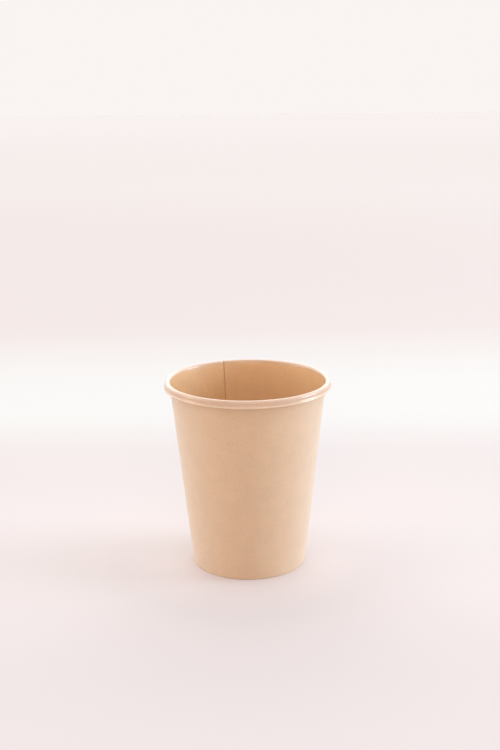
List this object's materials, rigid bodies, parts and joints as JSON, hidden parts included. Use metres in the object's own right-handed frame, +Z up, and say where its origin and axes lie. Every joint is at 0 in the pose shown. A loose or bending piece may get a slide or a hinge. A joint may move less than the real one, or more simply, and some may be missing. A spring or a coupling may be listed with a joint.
{
  "type": "paper coffee cup",
  "caption": "Plain kraft paper coffee cup: a tapered wall rolled with a lap seam, a rolled rim, and a recessed floor held in a folded hem that the cup stands on.",
  "frame": {"origin": "centre of the ring that the cup stands on", "axes": "+Z up the cup's axis towards the rim; -Y is the front, with the wall's seam at the back, 18.7 degrees from +Y towards -X"},
  "size_m": [0.08, 0.08, 0.0924],
  "materials": {
    "kraft_board": "matte",
    "floor_board": "matte"
  },
  "bodies": {
    "root": {"side_wall": "kraft_board", "bottom_disc": "floor_board"}
  },
  "joints": []
}
